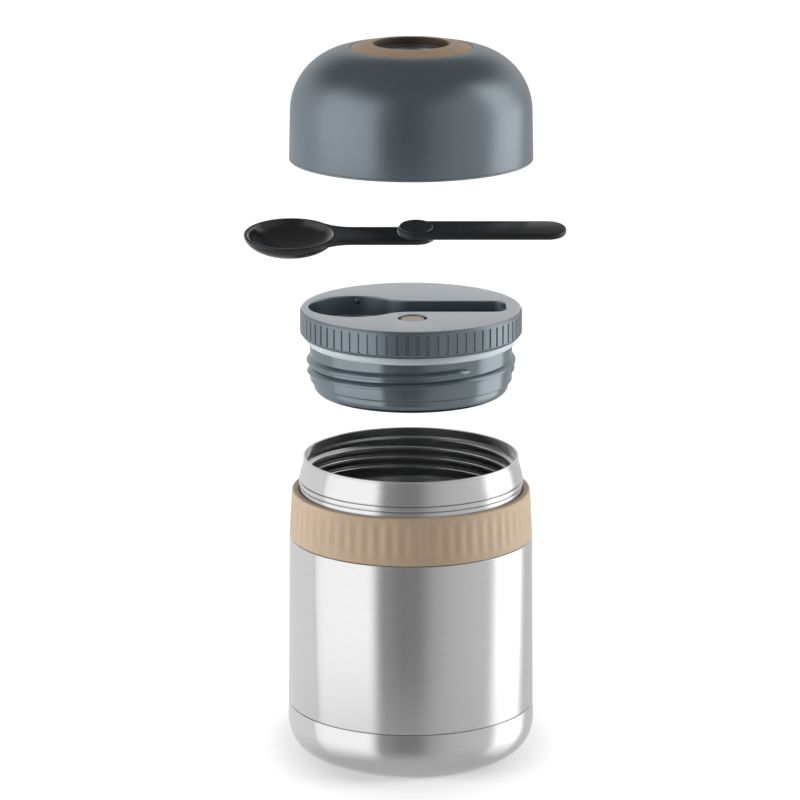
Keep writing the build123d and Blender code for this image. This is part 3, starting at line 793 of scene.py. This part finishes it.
def makeRivet():
    radius, foot, seat = rivet["radius"], rivet["foot"], rivet["headFrom"]
    low, high = foot - rivet["footThick"], seat + rivet["headHigh"]
    corners = [
        (0, low), (rivet["footRadius"], low, *rivet["footEdge"]), (rivet["footRadius"], foot),
        (radius, foot), (radius, seat), (rivet["head"], seat),
        (rivet["head"], high, *rivet["headEdge"]), (0, high),
    ]
    piece = hung(turned("spoonRivet", corners, rivet["steps"]))
    return finished(piece, "spoon_rivet", "spoon")


class Sum:
    # a shader number: Python's operators add Math nodes to its tree
    def __init__(self, finish, socket):
        self.finish, self.socket = finish, socket

    def maths(self, operation, *values):
        return self.finish.node("ShaderNodeMath", {"operation": operation}, values)

    def __add__(self, other):
        return self.maths("ADD", self, other)

    def __sub__(self, other):
        return self.maths("SUBTRACT", self, other)

    def __rsub__(self, other):
        return self.maths("SUBTRACT", other, self)

    def __mul__(self, other):
        return self.maths("MULTIPLY", self, other)

    def __truediv__(self, other):
        return self.maths("DIVIDE", self, other)

    def __rtruediv__(self, other):
        return self.maths("DIVIDE", other, self)

    def __pow__(self, other):
        return self.maths("POWER", self, other)

    __radd__, __rmul__ = __add__, __mul__


class Finish:
    # a node tree that is written as plain calls
    def __init__(self, tree):
        self.tree = tree
        tree.nodes.clear()

    def node(self, kind, settings=None, sockets=None, out=0):
        made = self.tree.nodes.new(kind)
        for name, value in (settings or {}).items():
            if name == "stops":
                self.addStops(made.color_ramp, value)
            else:
                setattr(made, name, value)
        listed = isinstance(sockets, (tuple, list))
        for name, value in enumerate(sockets) if listed else (sockets or {}).items():
            if isinstance(value, Sum):
                self.tree.links.new(value.socket, made.inputs[name])
            else:
                made.inputs[name].default_value = value
        return Sum(self, made.outputs[out]) if made.outputs else None

    def addStops(self, ramp, stops):
        while len(ramp.elements) < len(stops):
            ramp.elements.new(0.5)
        for element, (place, level) in zip(ramp.elements, stops):
            element.position = place
            element.color = (level, level, level, 1)

    def place(self, scale=(1, 1, 1)):
        where = self.node("ShaderNodeTexCoord", out=3)
        return self.node("ShaderNodeMapping", {}, {"Vector": where, "Scale": scale})

    def axes(self, vector, *wanted):
        # the vector's numbers: 0 is x, 1 is y and 2 is z
        return [self.node("ShaderNodeSeparateXYZ", {}, (vector,), index) for index in wanted]

    def noise(self, scale, detail=2.0, stretch=(1, 1, 1), rough=0.5):
        return self.node(
            "ShaderNodeTexNoise", {},
            {"Vector": self.place(stretch), "Scale": scale, "Detail": detail, "Roughness": rough},
        )

    def mix(self, factor, first, second):
        settings = {"data_type": "RGBA", "blend_type": "MIX"}
        return self.node("ShaderNodeMix", settings, {0: factor, 6: first, 7: second}, out=2)

    def spread(self, value, low, high, first, last):
        return self.node(
            "ShaderNodeMapRange", {}, {0: value, 1: low, 2: high, 3: first, 4: last}
        )

    def bump(self, height, strength, distance):
        return self.node(
            "ShaderNodeBump", {}, {"Height": height, "Strength": strength, "Distance": distance}
        )


def newFinish(name, build, **constants):
    material = bpy.data.materials.new(name)
    material.use_nodes = True
    finish = Finish(material.node_tree)
    inputs = build(finish)
    shader = material.node_tree.nodes.new("ShaderNodeBsdfPrincipled")
    for key, value in constants.items():
        shader.inputs[key.replace("_", " ")].default_value = value
    for key, value in inputs.items():
        material.node_tree.links.new(value.socket, shader.inputs[key])
    out = material.node_tree.nodes.new("ShaderNodeOutputMaterial")
    material.node_tree.links.new(shader.outputs[0], out.inputs[0])
    return material


def rgb(r, g, b):
    return (r, g, b, 1.0)


steels = {
    # darker and lighter colour, roughness from and to
    "shell": (rgb(0.60, 0.60, 0.605), rgb(0.68, 0.68, 0.685), 0.15, 0.2),
    "liner": (rgb(0.68, 0.68, 0.68), rgb(0.76, 0.76, 0.76), 0.16, 0.21),
}


def brushedSteel(f):
    # fine lines run round the jar, with a slow cloudiness under them
    dark, light, smooth, rough = steels["shell"]
    lines = f.noise(90, 3, (1, 1, 70), 0.6)
    fine = f.noise(260, 2, (1, 1, 60), 0.6)
    cloud = f.noise(18, 2)
    return {
        "Base Color": f.mix(f.spread(lines + fine * 0.5, 0.45, 1.05, 0.0, 1.0), dark, light),
        "Roughness": f.spread(lines * 0.7 + cloud * 0.3, 0.3, 0.7, smooth, rough),
        "Normal": f.bump(fine, 0.06, 0.0002),
    }


def linerSteel(f):
    dark, light, smooth, rough = steels["liner"]
    lines = f.noise(70, 3, (1, 1, 60), 0.6)
    return {
        "Base Color": f.mix(lines, dark, light),
        "Roughness": f.spread(lines, 0.3, 0.7, smooth, rough),
        "Normal": f.bump(lines, 0.03, 0.0002),
    }


plastics = {
    # darker and lighter colour, roughness, grain
    "slateStopper": ((0.010, 0.020, 0.028), (0.013, 0.025, 0.034), 0.33, 0.03),
    "slateCup": ((0.006, 0.015, 0.021), (0.009, 0.020, 0.027), 0.13, 0.01),
    "slateCap": ((0.003, 0.009, 0.016), (0.005, 0.012, 0.020), 0.3, 0.02),
    "capInside": ((0.12, 0.14, 0.15), (0.15, 0.17, 0.18), 0.4, 0.1),
    "tanSilicone": ((0.36, 0.266, 0.18), (0.41, 0.306, 0.213), 0.45, 0.1),
    "buttonSilicone": ((0.44, 0.36, 0.27), (0.49, 0.40, 0.31), 0.45, 0.1),
    "ringSilicone": ((0.32, 0.22, 0.135), (0.36, 0.25, 0.16), 0.5, 0.1),
    "clearSilicone": ((0.37, 0.42, 0.45), (0.43, 0.48, 0.51), 0.34, 0.1),
    "blackHandle": ((0.016, 0.016, 0.017), (0.021, 0.021, 0.022), 0.2, 0.1),
    "blackBowl": ((0.006, 0.006, 0.007), (0.010, 0.010, 0.011), 0.2, 0.1),
    "whiteFoam": ((0.72, 0.70, 0.64), (0.84, 0.82, 0.76), 0.9, 0.1),
    "darkPellet": ((0.08, 0.08, 0.085), (0.14, 0.14, 0.145), 0.6, 0.1),
}
# painted shade deep in the cap's hollow, and painted light on the stopper's flat top
paintedLightAndShade = {
    "hollow": rgb(0.045, 0.027, 0.015), "hollowEdge": (14.05, 14.9),
    "top": rgb(0.44, 0.45, 0.46), "topEdge": (-0.22, -0.08),
}


def softPlastic(dark, light, rough, grain):
    def build(f):
        speck = f.noise(2600, 2, rough=0.6)
        cloud = f.noise(35, 3)
        sheen = speck * 0.4 + cloud * 0.6
        return {
            "Base Color": f.mix(f.spread(cloud, 0.35, 0.65, 0, 1), rgb(*dark), rgb(*light)),
            "Roughness": f.spread(sheen, 0.35, 0.65, rough - 0.02, rough + 0.02),
            "Normal": f.bump(speck, grain, 0.00004),
        }
    return build


def paintedBoreShade(build):
    # painted shade: the hollow in the middle of the cap is painted dark, standing in for the shade
    # deep in the well
    def shaded(f):
        made = build(f)
        x, y = f.axes(f.place(), 0, 1)
        low, high = (edge * mm for edge in paintedLightAndShade["hollowEdge"])
        outside = f.spread((x * x + y * y) ** 0.5, low, high, 0.0, 1.0)
        made["Base Color"] = f.mix(outside, paintedLightAndShade["hollow"], made["Base Color"])
        return made
    return shaded


def paintedTopLight(build):
    # painted light: the stopper's flat top is painted paler than its sides, in place of light from
    # above
    def paled(f):
        made = build(f)
        low, high = ((stopper["top"] + edge) * mm for edge in paintedLightAndShade["topEdge"])
        top = f.spread(*f.axes(f.place(), 2), low, high, 0.0, 1.0)
        made["Base Color"] = f.mix(top, made["Base Color"], paintedLightAndShade["top"])
        return made
    return paled


def plastic(name, change=None, **constants):
    build = softPlastic(*plastics[name])
    return newFinish(name, change(build) if change else build, **constants)


brushed = {"Metallic": 1.0, "Anisotropic": 0.8, "Anisotropic_Rotation": 0.25}
coolSheen = {"IOR": 2.8, "Specular_Tint": rgb(0.8, 0.92, 1.0)}
steel = newFinish("brushedSteel", brushedSteel, **brushed)
innerSteel = newFinish("linerSteel", linerSteel, Metallic=1.0)
# the stopper's flat top carries painted light
slate = plastic("slateStopper", paintedTopLight, **coolSheen)
slateGloss = plastic("slateCup", **coolSheen)
# the cap's shell carries painted shade in its hollow
capSlate = plastic("slateCap", paintedBoreShade, **coolSheen)
capInside = plastic("capInside")
warmTan = plastic("tanSilicone")
buttonTan = plastic("buttonSilicone")
# the ring carries painted shade at its hollow edge
ringTan = plastic("ringSilicone", paintedBoreShade)
paleSilicone = plastic("clearSilicone")
black = plastic("blackHandle", IOR=1.3)
blackBowl = plastic("blackBowl")
foam = plastic("whiteFoam")
darkMetal = plastic("darkPellet")
print("made the finishes")


def dress(piece, material):
    piece.data.materials.clear()
    piece.data.materials.append(material)


for make, material in (
    (makeOuterShell, steel), (makeBaseCup, steel), (makeInnerLiner, innerSteel),
    (makeGripBand, warmTan), (makeStopperTop, slate), (makeStopperCup, slateGloss),
    (makeGasket, paleSilicone), (makeValveButton, buttonTan), (makeCapShell, capSlate),
    (makeCapLiner, capInside), (makeCapRing, ringTan),
):
    dress(make(), material)
for make, material in ((makeHandle, black), (makeSpoonBowl, blackBowl), (makeRivet, black)):
    piece = make()
    dress(piece, material)
    piece.visible_glossy = False  # it hangs close to the cap and would blotch its sheen
keptNodes = {
    "base_disc": steel, "vacuum_plug": darkMetal, "getter": darkMetal, "stopper_foam": foam,
    "valve_stem": innerSteel, "valve_spring": innerSteel, "valve_seal": paleSilicone,
    "valve_clip": innerSteel,
}
for node, material in keptNodes.items():
    dress(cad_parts[node], material)
print("dressed the kept nodes", len(keptNodes))


studio = {
    # brightness round the room: (degrees from the camera's side towards +X, brightness)
    "walls": [
        (-180, 0.75), (-133, 0.92), (-104, 0.95), (-102.4, 0.7), (-101.2, 0.75), (-100, 1.25),
        (-88, 1.38), (-37, 1.4), (-30, 0.40), (-8, 0.26), (8, 0.28), (20, 0.48), (36, 0.62),
        (58, 0.70), (80, 0.78), (88.5, 1.75), (96, 1.95), (122, 1.95), (132, 0.74), (180, 0.65),
    ],
    "brightest": 2.0, "wallTop": (0.5, 0.8), "wallFoot": (-0.35, -0.75), "ceiling": 0.27,
    "below": 0.58, "backAbove": 0.85, "backFrom": (0.2, 0.7), "aboveFrom": (0.0, 0.12),
    # the walls end lower at the back and higher on the right: from, to, by how much
    "lowerBack": (0.0, 0.4, 0.0, 0.22), "higherRight": (0.35, 0.9, 0.0, -0.16),
}
lamps = {
    # the side it stands on, its place along Y, its power
    "leftLamp": (-1, -0.2, 19.5), "rightLamp": (1, 0.15, 23.5),
}
lampBox = {"aside": 1.3, "high": 0.25, "wide": 0.7, "tall": 1.1}
ground = {
    "size": 6, "colour": rgb(0.95, 0.95, 0.95), "shadowAndPaintedShade": (0.037, 0.062), "share": 0.06,
    "glow": 1.1, "stretch": 0.49,
}
viewpoint = {
    "place": (-0.0042, -1.62795, 0.55207), "tilt": 75.7, "lens": 198, "sensor": 36, "far": 20,
}


def makeWorld():
    world = bpy.data.worlds.new("studio")
    bpy.context.scene.world = world
    world.use_nodes = True
    f = Finish(world.node_tree)
    x, y, z = f.axes(f.node("ShaderNodeTexCoord"), 0, 1, 2)
    turn = f.node("ShaderNodeMath", {"operation": "ARCTAN2"}, (x, y * -1.0)) / (2 * pi) + 0.5
    brightest = studio["brightest"]  # the ramp holds brightness as a share of this
    stops = [(place / 360 + 0.5, level / brightest) for place, level in studio["walls"]]
    walls = f.node("ShaderNodeValToRGB", {"stops": stops}, {"Fac": turn}) * brightest
    above = f.spread(z, *studio["aboveFrom"], 0.0, 1.0) * f.spread(y, *studio["backFrom"], 0.0, 1.0)
    walls = walls * (1 - above) + above * studio["backAbove"]
    edge = z + f.spread(y, *studio["lowerBack"]) + f.spread(x, *studio["higherRight"])
    rise = f.spread(edge, *studio["wallTop"], 0.0, 1.0)
    fall = f.spread(z, *studio["wallFoot"], 0.0, 1.0)
    level = walls * (1 - rise) + rise * studio["ceiling"]
    level = level * (1 - fall) + fall * studio["below"]
    seen = f.node("ShaderNodeLightPath")
    strength = level * (1 - seen) + seen  # the camera itself sees plain white
    back = f.node("ShaderNodeBackground", {}, {"Color": rgb(1, 1, 1), "Strength": strength})
    f.node("ShaderNodeOutputWorld", {}, {"Surface": back})


def makeLamp(name, side, y, power):
    # a tall soft box beside the jar, turned towards it
    aside = lampBox["aside"]
    bpy.ops.object.light_add(type="AREA", location=(side * aside, y, lampBox["high"]))
    lamp = bpy.context.object
    lamp.name = name
    lamp.rotation_euler = (radians(90), 0, side * (radians(90) + atan2(y, aside)))
    lamp.data.shape = "RECTANGLE"
    lamp.data.size, lamp.data.size_y = lampBox["wide"], lampBox["tall"]
    lamp.data.energy = power
    lamp.visible_camera = False
    lamp.visible_glossy = False


def makeFloor():
    startAfresh()
    bpy.ops.mesh.primitive_plane_add(size=ground["size"])
    floor = bpy.context.object
    floor.name = "floor"
    material = bpy.data.materials.new("paleFloor")
    material.use_nodes = True
    f = Finish(material.node_tree)
    plain = f.node("ShaderNodeBsdfDiffuse", {}, {"Color": ground["colour"]})
    white = f.node("ShaderNodeEmission", {}, {"Strength": ground["glow"]})
    x, y = f.axes(f.place(), 0, 1)
    reach = (x * x + y * y * ground["stretch"]) ** 0.5  # the real shadow and the painted shade reach further along Y
    # near the jar the floor's glow falls away: the jar's real shadow shows there, and the open floor
    # there is also a little greyer, a painted shade
    share = f.spread(reach, *ground["shadowAndPaintedShade"], ground["share"], 1.0)
    seen = f.node("ShaderNodeLightPath") * share
    shade = f.node("ShaderNodeMixShader", {}, (seen, plain, white))
    f.node("ShaderNodeOutputMaterial", {}, {"Surface": shade})
    floor.data.materials.append(material)
    floor.visible_glossy = False


def makeCamera():
    tilt = (radians(viewpoint["tilt"]), 0, 0)
    bpy.ops.object.camera_add(location=viewpoint["place"], rotation=tilt)
    camera = bpy.context.object
    camera.data.lens = viewpoint["lens"]
    camera.data.sensor_width = viewpoint["sensor"]
    camera.data.clip_end = viewpoint["far"]
    bpy.context.scene.camera = camera


startAfresh()
makeWorld()
for name, values in lamps.items():
    makeLamp(name, *values)
makeFloor()
makeCamera()
bpy.context.scene.view_settings.view_transform = "Standard"
print("set the studio")
